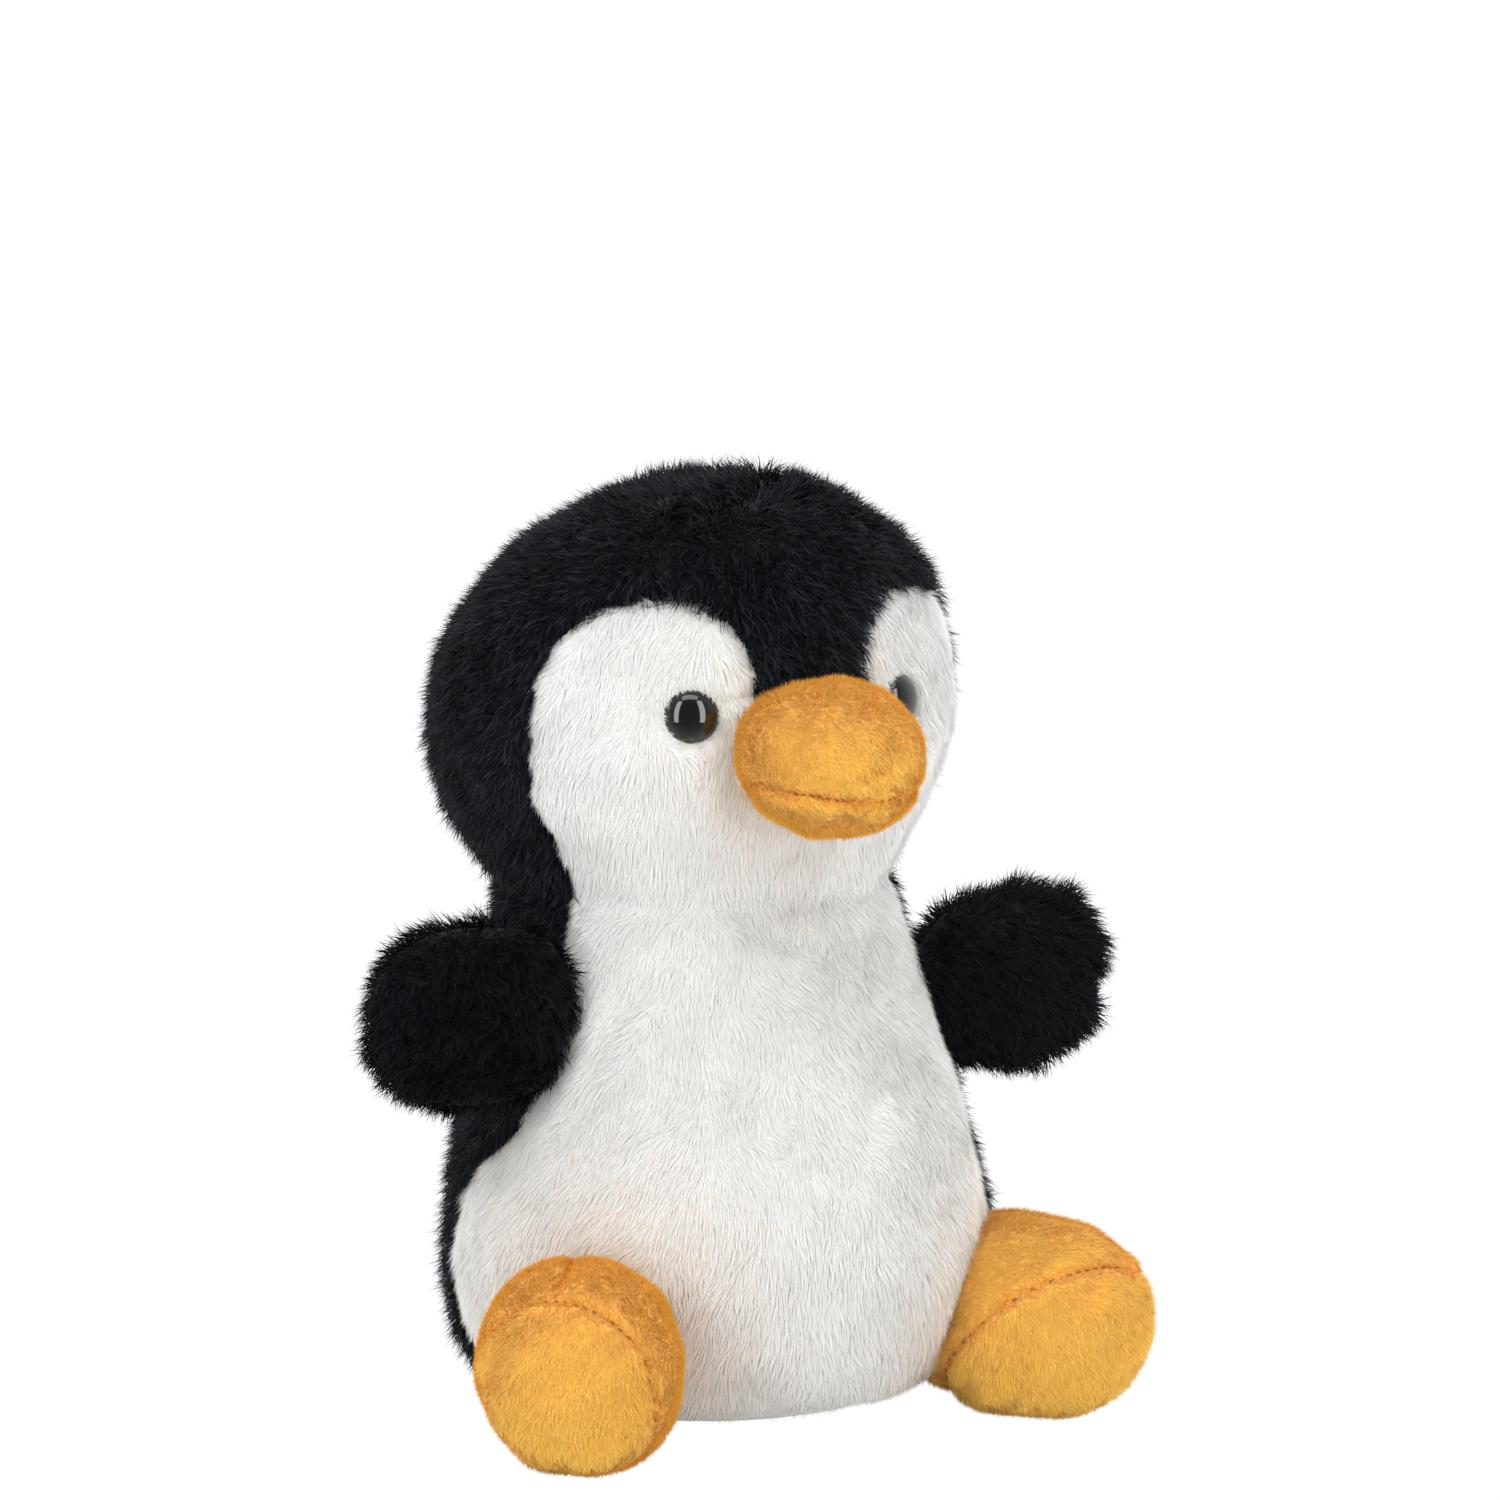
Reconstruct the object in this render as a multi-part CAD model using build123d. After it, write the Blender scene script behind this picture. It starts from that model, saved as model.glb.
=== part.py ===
from build123d import *
import os
from math import cos, radians, sin, sqrt, tan

# Seated plush penguin. Millimetres, +Z up, facing -Y, its own left hand at +X.
# The origin is the middle of the flat that it sits on.

# ---- driving dimensions ----
PILE_SKIN = 4.0              # backing cloth and combed pile of the black and white plush
SHORT_SKIN = 2.5             # the shorter pile of the beak, feet and wing linings
GAP = 0.4                    # clearance between bodies that turn on each other

HEAD_CENTRE = (0.0, 7.0, 134.0)
HEAD_HALF_WIDTH = 52.5
HEAD_RADIUS = 46.3           # front to back and up and down

# Torso outline about its own leaning axis: radius, height
TORSO = (
    (0.0, -5.0),
    (25.0, -2.5),
    (36.5, 1.5),
    (44.5, 8.0),
    (50.0, 18.0),
    (52.3, 33.0),
    (50.0, 52.0),
    (45.0, 72.0),
    (40.8, 90.0),
    (38.8, 103.0),
    (38.8, 112.0),
)
TORSO_LEAN = 6.0             # degrees that the torso leans back
TORSO_Y = -2.0               # where its axis meets the floor

NECK_PIVOT = (0.0, 8.0, 118.0)
NECK_BALL = 43.5             # radius of the head's rounded underside about the pivot
NECK_TOP = 103.0             # above this height everything belongs to the head

FACE_SEAM_Y = -6.0           # black and white meet here on the head
FACE_TOP = 168.0
CROWN_HALF_WIDTH = 13.0      # the black strip between the two white lobes
CROWN_LOW = 146.0
SIDE_SEAM_Y = 0.0            # belly and back panels meet here
SEAT_PANEL_TOP = 6.0

EYE = (24.5, 138.0)          # x and z of each eye
EYE_RADIUS = 5.25
EYE_HEIGHT = 4.2
EYE_SINK = 1.5               # the eye presses the pile down by this much
SHANK_RADIUS = 1.6
SHANK_LENGTH = 11.0
WASHER_RADIUS = 6.0
WASHER_THICKNESS = 1.2
WASHER_ROOM = 0.8            # the cloth behind the eye is curved, the washer flat

BEAK_CENTRE = (0.0, -41.0, 130.0)
BEAK_HALF_LENGTH = 18.5
BEAK_RADIUS = 16.0
MOUTH_HEIGHT = 122.5

WING_CENTRE = (58.5, -9.5, 82.0)
WING_HALF_THICKNESS = 8.5
WING_RADIUS = 21.0
WING_HINGE = (43.4, -9.5, 82.0)
WING_HINGE_LEAN = 18.0       # degrees that the side seam leans in towards the neck

FOOT_CENTRE = (50.0, -35.5, 20.0)
FOOT_HALF_LENGTH = 24.0
FOOT_RADIUS = 19.7
FOOT_TOE_OUT = 25.0          # degrees
FOOT_FLEX = 20.0             # degrees of room behind the foot, up and down
FOOT_HINGE_RADIUS = 52.0     # from the torso's axis
SOLE_FORWARD = 12.0          # the sole's seam, ahead of the foot's middle
SOLE_PITCH = 15.0            # degrees that the sole faces down

PELLET_CENTRE = (0.0, 3.0, 24.0)
PELLET_HALF_HEIGHT = 15.0
PELLET_RADIUS = 32.0
PELLET_CLOTH = 0.8

OVAL_STEPS = 6
BIG = 400.0


def dome(along, across):
    """Half an egg on the +X side of the origin: a quarter oval spun about X."""
    angles = [radians(90.0 * step / OVAL_STEPS) for step in range(OVAL_STEPS)]
    points = [(along * cos(angle), across * sin(angle)) for angle in angles]
    arc = Spline(points + [(0.0, across)], tangents=[(0, 1), (-1, 0)])
    edges = arc + Line((0, across), (0, 0)) + Line((0, 0), (along, 0))
    return Rot(-90, 0, 0) * revolve(make_face(edges), Axis.X, 360)


def whole(half):
    """A piece that crosses the middle plane, from its left-hand half."""
    return half + mirror(half, about=Plane.YZ)


def egg(centre, along, across, turn):
    """An egg of two domes, its axis set by a turn about Z or another rotation."""
    return Pos(*centre) * turn * whole(dome(along, across))


def left_head_form(inset=0.0):
    """The left half of the head's ball."""
    return Pos(*HEAD_CENTRE) * dome(HEAD_HALF_WIDTH - inset, HEAD_RADIUS - inset)


def left_torso_form(inset=0.0):
    """The left half of the torso: its outline spun about a leaning axis, cut flat at the seat."""
    points = [(max(radius - inset, 0), height) for radius, height in TORSO]
    side = Spline(points)
    top = Line(points[-1], (0, points[-1][1]))
    outline = side + top + Line((0, points[-1][1]), points[0])
    spun = revolve(Plane.XZ * make_face(outline), Axis.Z, 360)
    leaning = Pos(0, TORSO_Y, 0) * Rot(-TORSO_LEAN, 0, 0) * spun
    return leaning & toward(0, 0, 1, (0, 0, inset)) & toward(1, 0, 0)


def above(plane):
    """Everything on the positive side of a plane."""
    return plane * Box(BIG, BIG, BIG, align=(Align.CENTER, Align.CENTER, Align.MIN))


def toward(x, y, z, origin=(0, 0, 0)):
    """Everything beyond a point in a direction."""
    return above(Plane(origin, z_dir=(x, y, z)))


def slab(half_width, low):
    """A strip about the middle plane, above a height."""
    return Pos(0, 0, low) * Box(2 * half_width, BIG, BIG,
                                align=(Align.CENTER, Align.CENTER, Align.MIN))


def save(shape, node):
    """One node's solids to its own file."""
    kept = [solid for solid in shape.solids() if solid.volume > 1.0]
    export_step(kept[0] if len(kept) == 1 else Compound(kept), f"parts/{node}.step")
    print(node, len(kept), round(sum(solid.volume for solid in kept)))


def save_pair(shape, name, part=""):
    """The left-hand piece, at +X, and its mirror image."""
    save(shape, f"{name}_left{part}")
    save(mirror(shape, about=Plane.YZ), f"{name}_right{part}")


os.makedirs("parts", exist_ok=True)

# Pieces that cross the middle plane are made as their left half, then made whole.
outer = left_torso_form() + left_head_form()
inner = left_torso_form(PILE_SKIN) + left_head_form(PILE_SKIN)
neck_down = toward(0, 0, -1, (0, 0, NECK_TOP))
not_head = neck_down - Pos(*NECK_PIVOT) * Sphere(NECK_BALL)
torso_room = neck_down - Pos(*NECK_PIVOT) * Sphere(NECK_BALL + GAP)

# ---- head: one rounded shell that sits in the torso's hollow collar ----
head_skin = (outer - inner) - not_head
head_filling = inner - not_head

# ---- eyes: a domed plastic button on a ribbed shank, held by a washer inside ----
eye_x, eye_z = EYE
rise = eye_z - HEAD_CENTRE[2]
ring = HEAD_RADIUS * sqrt(1.0 - (eye_x / HEAD_HALF_WIDTH) ** 2)
reach = sqrt(ring ** 2 - rise ** 2)
eye_y = HEAD_CENTRE[1] - reach
eye_out = Vector(eye_x / HEAD_HALF_WIDTH ** 2, -reach / HEAD_RADIUS ** 2, rise / HEAD_RADIUS ** 2)
eye_out = eye_out.normalized()
eye_seat = Plane(Vector(eye_x, eye_y, eye_z) - eye_out * EYE_SINK, z_dir=eye_out)
cap_radius = (EYE_RADIUS ** 2 + EYE_HEIGHT ** 2) / (2 * EYE_HEIGHT)
down = (Align.CENTER, Align.CENTER, Align.MAX)
up = (Align.CENTER, Align.CENTER, Align.MIN)
eye_cap = Pos(0, 0, EYE_HEIGHT - cap_radius) * Sphere(cap_radius)
eye_cap &= Box(20, 20, 20, align=up)
shank = Cylinder(SHANK_RADIUS, SHANK_LENGTH, align=down)
for rib in range(3):
    shank += Pos(0, 0, -6.5 - 1.6 * rib) * Cylinder(SHANK_RADIUS + 0.35, 0.7)
eye = eye_seat * (eye_cap + shank)
washer_top = EYE_SINK - PILE_SKIN - WASHER_ROOM
washer = Pos(0, 0, washer_top) * Cylinder(WASHER_RADIUS, WASHER_THICKNESS, align=down)
washer -= Cylinder(SHANK_RADIUS + 0.03, 4 * SHANK_LENGTH)
eye_washer = eye_seat * washer
seat_cut = Cylinder(EYE_RADIUS + 0.1, 8.0, align=up) + Cylinder(SHANK_RADIUS + 0.05, 12.0)
seat_cut = eye_seat * seat_cut
pocket = eye_seat * Cylinder(WASHER_RADIUS + 0.3, SHANK_LENGTH + 1.0, align=down)
head_skin -= seat_cut
head_filling -= pocket

crown_strip = slab(CROWN_HALF_WIDTH, CROWN_LOW)
front_of_head = toward(0, -1, 0, (0, FACE_SEAM_Y, 0)) & toward(0, 0, -1, (0, 0, FACE_TOP))
face = (head_skin & front_of_head) - crown_strip
crown = head_skin & crown_strip
head_back = (head_skin - front_of_head) - crown_strip
save(whole(crown), "crown_panel")
save_pair(face, "face_panel")
save_pair(head_back, "head_back_panel")
save(whole(head_filling), "head_stuffing")
save_pair(eye, "eye")
save_pair(eye_washer, "eye_washer")

# ---- beak: two cupped panels sewn along the mouth, filled, and sewn to the face ----
along_y = Rot(0, 0, 90)
left_half = toward(1, 0, 0)
beak_form = egg(BEAK_CENTRE, BEAK_HALF_LENGTH, BEAK_RADIUS, along_y)
beak_core = egg(BEAK_CENTRE, BEAK_HALF_LENGTH - SHORT_SKIN, BEAK_RADIUS - SHORT_SKIN, along_y)
beak_filling = (beak_core & left_half) - outer
beak_skin = ((beak_form - beak_core) & left_half) - outer
above_mouth = toward(0, 0, 1, (0, 0, MOUTH_HEIGHT))
save(whole(beak_skin & above_mouth), "beak_upper_panel")
save(whole(beak_skin - above_mouth), "beak_lower_panel")
save(whole(beak_filling), "beak_stuffing")

# ---- torso: belly, two back panels and a round seat panel about the filling ----
torso_skin = (outer - inner) & torso_room
torso_filling = whole(inner) & torso_room
above_seat = toward(0, 0, 1, (0, 0, SEAT_PANEL_TOP))
belly_side = toward(0, -1, 0, (0, SIDE_SEAM_Y, 0))
wall = torso_skin & above_seat
save(whole(torso_skin - above_seat), "seat_panel")
save(whole(wall & belly_side), "belly_panel")
save_pair(wall - belly_side, "back_panel")
upright = Rot(0, 90, 0)
pellet_bag = egg(PELLET_CENTRE, PELLET_HALF_HEIGHT, PELLET_RADIUS, upright)
pellet_core = (PELLET_HALF_HEIGHT - PELLET_CLOTH, PELLET_RADIUS - PELLET_CLOTH)
pellets = egg(PELLET_CENTRE, *pellet_core, upright)
save(torso_filling - pellet_bag, "torso_stuffing")
save(pellet_bag - pellets, "pellet_bag")
save(pellets, "pellet_fill")

# ---- wings: flat padded paddles that turn on the side seams ----
lean = radians(WING_HINGE_LEAN)
hinge_frame = Plane(WING_HINGE, x_dir=(cos(lean), 0, sin(lean)), z_dir=(-sin(lean), 0, cos(lean)))


def wing_form(inset, root):
    """A flattened egg that thins to its seam: it is cut by a wedge with its edge at the root."""
    edge = 1.8 - 0.3 * inset
    outline = Polyline((root, -edge), (root + 11, -12), (70, -12), (70, 14), (root + 32, 14),
                       (root, edge), close=True)
    wedge = hinge_frame * Pos(0, 0, -40) * extrude(make_face(outline), 80)
    radii = (WING_HALF_THICKNESS - inset, WING_RADIUS - inset)
    return egg(WING_CENTRE, *radii, along_y) & wedge


wing_filling = wing_form(SHORT_SKIN, 4.0)
wing_skin = wing_form(0.0, 0.0) - wing_filling
wing_front = toward(0, -1, 0, WING_HINGE)
save_pair(wing_skin & wing_front, "wing", "_front_panel")
save_pair(wing_skin - wing_front, "wing", "_back_panel")
save_pair(wing_filling, "wing", "_stuffing")

# ---- feet: stubby padded ovals, an upper sewn to an oval sole ----
spread = Vector(FOOT_CENTRE[0], FOOT_CENTRE[1], 0).normalized()
foot_hinge = Vector(0, 0, FOOT_CENTRE[2]) + spread * FOOT_HINGE_RADIUS
hinge_side = Vector(0, 0, 1).cross(spread)
foot_frame = Plane(foot_hinge, x_dir=spread, z_dir=hinge_side)


def foot_form(inset, root):
    """A long ball whose back is cut to a blunt V, so that it can flex up and down."""
    slope = 40.0 * tan(radians(FOOT_FLEX))
    outline = Polyline((root, -2), (root + slope, -42), (90, -42), (90, 42), (root + slope, 42),
                       (root, 2), close=True)
    room = foot_frame * Pos(0, 0, -50) * extrude(make_face(outline), 100)
    radii = (FOOT_HALF_LENGTH - inset, FOOT_RADIUS - inset)
    return egg(FOOT_CENTRE, *radii, Rot(0, 0, 90 + FOOT_TOE_OUT)) & room


foot_filling = foot_form(SHORT_SKIN, SHORT_SKIN)
foot_skin = foot_form(0.0, 0.0) - foot_filling
toe = radians(FOOT_TOE_OUT)
pitch = radians(SOLE_PITCH)
ahead = Vector(sin(toe), -cos(toe), 0)
sole_side = toward(*(ahead * cos(pitch) - Vector(0, 0, sin(pitch))),
                   Vector(*FOOT_CENTRE) + ahead * SOLE_FORWARD)
save_pair(foot_skin - sole_side, "foot", "_upper_panel")
save_pair(foot_skin & sole_side, "foot", "_sole_panel")
save_pair(foot_filling, "foot", "_stuffing")

print("neck pivot", NECK_PIVOT)
print("wing hinge", WING_HINGE, tuple(round(v, 4) for v in hinge_frame.z_dir))
print("foot hinge", tuple(round(v, 3) for v in foot_hinge), tuple(round(v, 4) for v in hinge_side))
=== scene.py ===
# A seated plush penguin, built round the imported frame. Shapes are worked out in millimetres.
import bmesh
import bpy
import numpy as np
from mathutils import Matrix, Vector


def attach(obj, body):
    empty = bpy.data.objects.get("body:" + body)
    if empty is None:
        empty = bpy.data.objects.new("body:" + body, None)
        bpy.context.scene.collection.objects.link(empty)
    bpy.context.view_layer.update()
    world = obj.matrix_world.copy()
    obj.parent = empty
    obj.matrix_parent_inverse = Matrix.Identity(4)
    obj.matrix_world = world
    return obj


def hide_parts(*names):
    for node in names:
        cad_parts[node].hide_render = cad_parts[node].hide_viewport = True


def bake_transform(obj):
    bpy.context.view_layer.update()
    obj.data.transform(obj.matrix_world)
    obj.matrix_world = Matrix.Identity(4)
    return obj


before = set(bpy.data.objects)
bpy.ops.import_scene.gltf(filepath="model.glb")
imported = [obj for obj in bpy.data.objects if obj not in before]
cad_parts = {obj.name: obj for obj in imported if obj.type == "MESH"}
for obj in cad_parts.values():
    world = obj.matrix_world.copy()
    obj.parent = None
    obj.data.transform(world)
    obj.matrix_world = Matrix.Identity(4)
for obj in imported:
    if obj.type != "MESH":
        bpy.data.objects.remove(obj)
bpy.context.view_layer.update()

# ---------------------------------------------------------------------------
# Studio: a floor that only reflects light up, a room that is white behind the toy and dim
# behind the camera, a tall soft light each side and one above.
# The camera is a long lens at table height, a little above the toy and to its right.
# ---------------------------------------------------------------------------
VIEW_AZIMUTH = np.radians(-30.0)
VIEW_ELEVATION = np.radians(7.5)
CAMERA_DISTANCE = 1600.0
FRAME_WIDTH = 283.5
AIM_RIGHT, AIM_UP = 5.7, 125.3

to_camera = np.array([np.sin(VIEW_AZIMUTH) * np.cos(VIEW_ELEVATION),
                      -np.cos(VIEW_AZIMUTH) * np.cos(VIEW_ELEVATION), np.sin(VIEW_ELEVATION)])
to_right = np.array([np.cos(VIEW_AZIMUTH), np.sin(VIEW_AZIMUTH), 0.0])
to_up = np.cross(to_camera, to_right)
camera = bpy.data.objects.new("camera", bpy.data.cameras.new("camera"))
bpy.context.collection.objects.link(camera)
place = (to_right * AIM_RIGHT + to_up * AIM_UP + to_camera * CAMERA_DISTANCE) / 1000
axes = np.array([to_right, to_up, to_camera]).T
camera.matrix_world = Matrix.Translation(Vector(place)) @ Matrix(axes.tolist()).to_4x4()
camera.data.sensor_width = 36.0
camera.data.lens = 36.0 * CAMERA_DISTANCE / FRAME_WIDTH
camera.data.clip_end = 20.0
bpy.context.scene.camera = camera
bpy.context.scene.view_settings.view_transform = "Standard"


def node_material(name, base, roughness):
    """A new material and its Principled shader, with its plain colour and roughness set."""
    material = bpy.data.materials.new(name)
    material.use_nodes = True
    shader = material.node_tree.nodes["Principled BSDF"]
    shader.inputs["Base Color"].default_value = (*base, 1.0)
    shader.inputs["Roughness"].default_value = roughness
    return material, shader


floor_mesh = bpy.data.meshes.new("floor")
floor_mesh.from_pydata([(-6, -6, 0), (6, -6, 0), (6, 6, 0), (-6, 6, 0)], [], [(0, 1, 2, 3)])
floor = bpy.data.objects.new("floor", floor_mesh)
bpy.context.collection.objects.link(floor)
floor_mesh.materials.append(node_material("floor_paper", (0.88, 0.88, 0.88), 0.9)[0])
floor.location.z = -0.0003
floor.visible_camera = False
floor.visible_glossy = False

world = bpy.data.worlds.new("room")
bpy.context.scene.world = world
world.use_nodes = True
backdrop = world.node_tree.nodes["Background"]
look = world.node_tree.nodes.new("ShaderNodeTexCoord")
towards = world.node_tree.nodes.new("ShaderNodeVectorMath")
towards.operation = "DOT_PRODUCT"
towards.inputs[1].default_value = (-to_camera).tolist()
fade = world.node_tree.nodes.new("ShaderNodeMapRange")
fade.interpolation_type = "SMOOTHSTEP"
for socket, value in (("From Min", -1.0), ("From Max", 0.5), ("To Min", 0.12), ("To Max", 1.02)):
    fade.inputs[socket].default_value = value
world.node_tree.links.new(look.outputs["Generated"], towards.inputs[0])
world.node_tree.links.new(towards.outputs["Value"], fade.inputs["Value"])
world.node_tree.links.new(fade.outputs["Result"], backdrop.inputs["Strength"])
backdrop.inputs["Color"].default_value = (1.0, 1.0, 1.0, 1.0)


def soft_light(name, azimuth, height, distance, width, tall, power):
    """A flat light that looks at the toy's middle from an azimuth, in metres and watts."""
    lamp = bpy.data.lights.new(name, "AREA")
    lamp.shape = "RECTANGLE"
    lamp.size = width
    lamp.size_y = tall
    lamp.energy = power
    lit = bpy.data.objects.new(name, lamp)
    bpy.context.collection.objects.link(lit)
    turn = np.radians(azimuth)
    lit.location = (distance * np.sin(turn), -distance * np.cos(turn), height)
    lit.rotation_euler = (Vector((0, 0, 0.1)) - lit.location).to_track_quat("-Z", "Y").to_euler()
    return lit


soft_light("left_softbox", -70.0, 0.35, 1.1, 0.35, 1.4, 7.5)
soft_light("right_softbox", 9.0, 0.35, 1.1, 0.35, 1.4, 7.5)
soft_light("top_softbox", -30.0, 1.4, 0.6, 1.2, 0.6, 6.0)

# ---------------------------------------------------------------------------
# Head and torso cover: sewn plush panels over one stuffed form, black behind and white in
# front. The cloth is worked out first; the pile that grows on it is combed down and back.
# ---------------------------------------------------------------------------
HEAD_MIDDLE = (10.0, 134.0)
HEAD_RADII = (52.5, 46.5, 46.5)
HEAD_LEAN = 13.0
# Torso ovals from the seat up: height, half width, half depth, y of the middle
TORSO_OVALS = np.array([
    (0.0, 0.0, 0.0, 5.0),
    (0.0, 13.0, 13.0, 5.0),
    (0.3, 25.0, 25.0, 5.0),
    (2.0, 34.0, 33.0, 4.0),
    (5.0, 41.0, 39.0, 3.0),
    (10.0, 46.5, 44.0, 2.0),
    (18.0, 51.0, 48.5, 1.0),
    (32.0, 53.5, 51.0, 0.0),
    (45.0, 52.5, 50.0, 0.0),
    (58.0, 49.5, 47.0, 1.0),
    (72.0, 46.0, 43.0, 3.5),
    (86.0, 42.7, 39.5, 6.0),
    (96.0, 40.8, 37.5, 8.0),
    (102.5, 41.0, 37.3, 9.3),
])
NECK = 101.5
CLOTH_DEPTH = 2.8


def smooth_rows(knots, at):
    """Rows of knots joined by a Catmull-Rom curve: each span is a cubic whose end slopes are
    half the step between the neighbours on either side. at runs from 0 to the last knot."""
    last = len(knots) - 1
    span = np.clip(np.floor(at).astype(int), 0, last - 1)
    t = (at - span)[..., None]
    p0, p1 = knots[np.clip(span - 1, 0, last)], knots[span]
    p2, p3 = knots[span + 1], knots[np.clip(span + 2, 0, last)]
    return 0.5 * (2 * p1 + (p2 - p0) * t + (2 * p0 - 5 * p1 + 4 * p2 - p3) * t ** 2
                  + (3 * p1 - p0 - 3 * p2 + p3) * t ** 3)


def head_ovals(latitude):
    """The head's ovals by latitude: an egg whose upper part is pushed forward by a power of
    its height, as rows of height, half width, half depth and middle."""
    half_width, half_depth, half_height = HEAD_RADII
    rise = np.sin(latitude)
    round_in = np.cos(latitude)
    push = HEAD_LEAN * np.clip((rise * half_height + 6) / (half_height + 6), 0, 1) ** 1.7
    return np.stack([HEAD_MIDDLE[1] + half_height * rise, half_width * round_in,
                     half_depth * round_in, HEAD_MIDDLE[0] - push], -1)


HEAD_LATITUDES = np.array([-33, -24, -12, 0, 12, 24, 36, 48, 60, 70, 80, 90.0])
head_rows = head_ovals(np.radians(HEAD_LATITUDES))
OVALS = np.concatenate([TORSO_OVALS, head_rows])
BODY_SPAN = len(OVALS) - 1.0


def body(lon, along, ovals=OVALS):
    """A stack of ovals: at a place along the stack and a longitude from the front, x is the
    half width times the sine, y the middle less the half depth times the cosine."""
    oval = smooth_rows(ovals, along)
    return np.stack([oval[..., 1] * np.sin(lon), oval[..., 3] - oval[..., 2] * np.cos(lon),
                     oval[..., 0] + 0 * lon], -1)


def ripple(points, wave, seed):
    """A smooth wandering vector at each point: each part is a sum of four sines of about that
    wavelength, along directions drawn from the seed."""
    draw = np.random.default_rng(seed)
    total = np.zeros(points.shape)
    for octave in range(4):
        heading = draw.normal(size=(3, 3))
        heading /= np.linalg.norm(heading, axis=0)
        phase = draw.uniform(0, 2 * np.pi, 3)
        total += np.sin(points @ heading * (2 * np.pi / wave) * (0.8 + 0.25 * octave) + phase)
    return total / 2.0


def unit(vectors):
    """Vectors scaled to length one."""
    return vectors / np.maximum(np.linalg.norm(vectors, axis=-1, keepdims=True), 1e-9)


def grid_normals(points):
    """Outward normals of a grid of points: the cross product of its two gradients, turned to
    point away from the grid's middle."""
    across = np.gradient(points, axis=1)
    across[:, 0] = across[:, -1] = (points[:, 1] - points[:, -2]) / 2
    normals = unit(np.cross(across, np.gradient(points, axis=0)))
    middle = points.reshape(-1, 3).mean(0)
    if np.sum(normals * (points - middle)) < 0:
        normals = -normals
    return normals


def seam_depth(field, points, deep, wide):
    """How far the cloth is drawn in at each grid point: a bell about the line where the field
    is zero, by distance, which is the field over the length of its slope."""
    step_u = np.linalg.norm(np.gradient(points, axis=1), axis=-1) + 1e-6
    step_v = np.linalg.norm(np.gradient(points, axis=0), axis=-1) + 1e-6
    slope = np.hypot(np.gradient(field, axis=1) / step_u, np.gradient(field, axis=0) / step_v)
    return deep * np.exp(-(np.abs(field) / (slope + 1e-3) / wide) ** 2)


def mesh_object(name, points, loops, sizes, materials, indices=None, smooth=True):
    """A mesh from flat arrays of corner points, corner indices and face sizes, in metres."""
    mesh = bpy.data.meshes.new(name)
    mesh.vertices.add(len(points))
    mesh.vertices.foreach_set("co", (points / 1000).astype(np.float32).ravel())
    mesh.loops.add(len(loops))
    mesh.loops.foreach_set("vertex_index", loops.astype(np.int32))
    mesh.polygons.add(len(sizes))
    starts = np.concatenate([[0], np.cumsum(sizes)[:-1]])
    mesh.polygons.foreach_set("loop_start", starts.astype(np.int32))
    for material in materials:
        mesh.materials.append(material)
    if indices is not None:
        mesh.polygons.foreach_set("material_index", indices.astype(np.int32))
    mesh.polygons.foreach_set("use_smooth", np.full(len(sizes), smooth))
    mesh.update(calc_edges=True)
    piece = bpy.data.objects.new(name, mesh)
    bpy.context.collection.objects.link(piece)
    return piece


def grid_quads(rows, columns):
    """Corner indices of every cell of a grid of points, anticlockwise from outside."""
    first = (np.arange(rows - 1)[:, None] * columns + np.arange(columns - 1)).ravel()
    return np.stack([first, first + 1, first + columns + 1, first + columns], -1)


def cloth_piece(name, points, cells, material, thickness=1.0):
    """The cells of a grid as one panel of cloth with a thickness, its doubled points merged."""
    flat = points.reshape(-1, 3)
    corner = flat[cells]
    out = np.cross(corner[:, 2] - corner[:, 0], corner[:, 3] - corner[:, 1])
    if np.sum(out * (corner.mean(1) - flat.mean(0))) < 0:
        cells = cells[:, ::-1]
    used, inverse = np.unique(cells, return_inverse=True)
    piece = mesh_object(name, flat[used], inverse.ravel(), np.full(len(cells), 4), [material])
    work = bmesh.new()
    work.from_mesh(piece.data)
    bmesh.ops.remove_doubles(work, verts=work.verts, dist=2e-6)
    bmesh.ops.dissolve_degenerate(work, edges=work.edges, dist=1e-6)
    work.to_mesh(piece.data)
    work.free()
    wall = piece.modifiers.new("wall", "SOLIDIFY")
    wall.thickness = thickness / 1000
    wall.offset = -1.0
    return piece


def scatter(points, normals, cells, density, seed):
    """Random places on cells of a grid: cells drawn by area, then a place in each by two
    weights. Returns roots, normals and the cell of each."""
    flat, flat_normals = points.reshape(-1, 3), normals.reshape(-1, 3)
    corner = flat[cells]
    one, two, three = (corner[:, k] - corner[:, 0] for k in (1, 2, 3))
    area = 0.5 * (np.linalg.norm(np.cross(one, two), axis=1)
                  + np.linalg.norm(np.cross(two, three), axis=1))
    draw = np.random.default_rng(seed)
    count = int(area.sum() * density)
    chosen = np.searchsorted(np.cumsum(area), draw.uniform(0, area.sum(), count))
    chosen = np.minimum(chosen, len(cells) - 1)
    u, v = draw.uniform(size=(2, count, 1))
    weights = [(1 - u) * (1 - v), u * (1 - v), u * v, (1 - u) * v]
    roots = sum(w * corner[chosen, k] for k, w in enumerate(weights))
    facing = unit(sum(w * flat_normals[cells[chosen, k]] for k, w in enumerate(weights)))
    return roots, facing, chosen


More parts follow.
